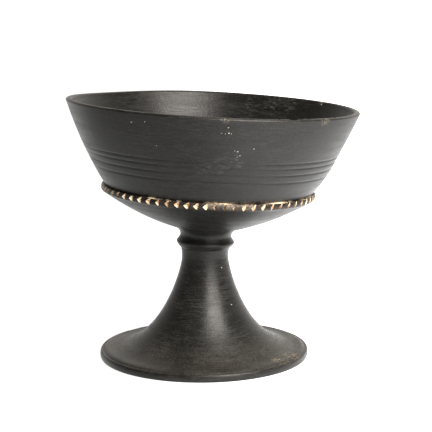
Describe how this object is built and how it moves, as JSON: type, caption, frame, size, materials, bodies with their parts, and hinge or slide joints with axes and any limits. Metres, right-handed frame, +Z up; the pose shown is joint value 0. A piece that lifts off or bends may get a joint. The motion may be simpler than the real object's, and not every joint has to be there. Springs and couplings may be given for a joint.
{
  "type": "bucchero chalice",
  "caption": "Black fired-clay drinking cup: a flaring bowl with incised lines and a notched shoulder ridge on a collared stem and a hollow trumpet foot; the bowl leans a little.",
  "frame": {"origin": "on the standing plane, under the middle of the cup's whole width and depth", "axes": "+Z up out of the bowl; the front, with the rim chip at the right, faces -Y; the bowl leans towards +X"},
  "size_m": [0.1494, 0.15, 0.1359],
  "materials": {
    "black_clay": "burnished black bucchero, satin, with wheel marks, scuffs and cream deposit in the notches"
  },
  "bodies": {
    "root": {"chalice": "black_clay"}
  },
  "joints": []
}
